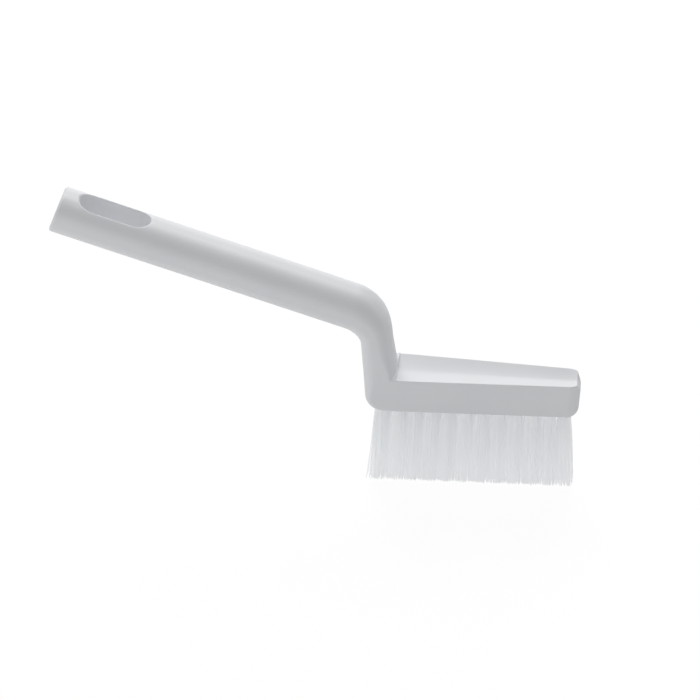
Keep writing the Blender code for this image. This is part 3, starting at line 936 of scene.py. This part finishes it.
def floor_material():
    """White with a faint trace of the shadow for the camera, plain paper for all other rays.

    From below, the camera sees through it.
    """
    material, nodes, shader = new_material("studio_floor")
    nodes.set(shader, "Base Color", FLOOR_COLOUR)
    nodes.set(shader, "Roughness", 0.9)
    shader.inputs["Specular IOR Level"].default_value = 0.0
    light = nodes.add("ShaderNodeLightPath")
    white = nodes.add("ShaderNodeEmission", None, Color=WHITE, Strength=FLOOR_WHITE)
    seen = nodes.math("MULTIPLY", light.outputs["Is Camera Ray"], 1 - FLOOR_SHADOW_SHARE)
    top = nodes.add("ShaderNodeMixShader")
    nodes.set(top, "0", seen)
    nodes.set(top, "1", shader.outputs[0])
    nodes.set(top, "2", white.outputs[0])
    clear = nodes.add("ShaderNodeBsdfTransparent")
    behind = nodes.add("ShaderNodeNewGeometry").outputs["Backfacing"]
    under = nodes.math("MULTIPLY", behind, light.outputs["Is Camera Ray"])
    whole = nodes.add("ShaderNodeMixShader")
    nodes.set(whole, "0", under)
    nodes.set(whole, "1", top.outputs[0])
    nodes.set(whole, "2", clear.outputs[0])
    output = material.node_tree.nodes["Material Output"]
    material.node_tree.links.new(whole.outputs[0], output.inputs["Surface"])
    return material


def make_floor():
    bm = bmesh.new()
    bm.faces.new([
        bm.verts.new((x * FLOOR_REACH, y * FLOOR_REACH, -FLOOR_DROP))
        for x, y in ((-1, -1), (1, -1), (1, 1), (-1, 1))
    ])
    floor = new_object("floor", mesh_from(bm, "floor"))
    if floor.data.polygons[0].normal.z < 0:
        floor.data.flip_normals()
    floor.data.materials.append(floor_material())


def make_world():
    """Even light all round; the camera sees it white, and reflections see it lighter than it is."""
    world = bpy.data.worlds.new("studio")
    bpy.context.scene.world = world
    world.use_nodes = True
    nodes = Nodes(world.node_tree)
    back = world.node_tree.nodes["Background"]
    light = nodes.add("ShaderNodeLightPath")
    through = light.outputs["Is Transmission Ray"]
    seen = nodes.math("MAXIMUM", light.outputs["Is Camera Ray"], through)
    mirrored = nodes.math("MULTIPLY", light.outputs["Is Glossy Ray"], GLOSSY_SHARE)
    shown = nodes.math("MAXIMUM", seen, mirrored)
    nodes.set(back, "Color", WHITE)
    strength = nodes.add("ShaderNodeMapRange", None, Value=shown)
    nodes.set(strength, "To Min", AMBIENT)
    nodes.set(strength, "To Max", 1.0)
    nodes.set(back, "Strength", strength.outputs[0])


def softbox(name, toward, distance, size, level):
    """An area lamp aimed at the brush.

    Its level is about the light that it adds to a surface that faces it.
    """
    data = bpy.data.lights.new(name, "AREA")
    data.shape = "SQUARE"
    data.size = size
    data.energy = level * math.pi ** 2 * distance ** 2
    lamp = new_object(name, data)
    direction = Vector(toward).normalized()
    lamp.location = LAMP_AIM + direction * distance
    lamp.rotation_euler = direction.to_track_quat("Z", "Y").to_euler()


def make_camera():
    data = bpy.data.cameras.new("camera")
    data.lens = VIEW_LENS
    data.sensor_width = VIEW_SENSOR
    camera = new_object("camera", data)
    back = Vector((
        math.sin(VIEW_AZIMUTH) * math.cos(VIEW_ELEVATION),
        -math.cos(VIEW_AZIMUTH) * math.cos(VIEW_ELEVATION),
        math.sin(VIEW_ELEVATION),
    ))
    camera.location = VIEW_AIM + back * VIEW_DISTANCE
    camera.rotation_euler = back.to_track_quat("Z", "Y").to_euler()
    bpy.context.scene.camera = camera


bpy.context.scene.view_settings.view_transform = "Standard"
surface_grain = grain_group()
worn_and_highlighted_edges = edge_wear_and_highlight_group()
plastic = plastic_material(surface_grain, worn_and_highlighted_edges)
filament = bristle_material(surface_grain)
steel = steel_material(surface_grain, worn_and_highlighted_edges)

holes = tuft_places()
make_body(holes, plastic)
for tuft_name, hole in holes.items():
    make_tuft(tuft_name, hole, holes, filament)
    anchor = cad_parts[f"anchor_{tuft_name}"]
    anchor.data.materials.clear()
    anchor.data.materials.append(steel)

make_floor()
make_world()
for lamp_settings in LAMPS:
    softbox(*lamp_settings)
make_camera()
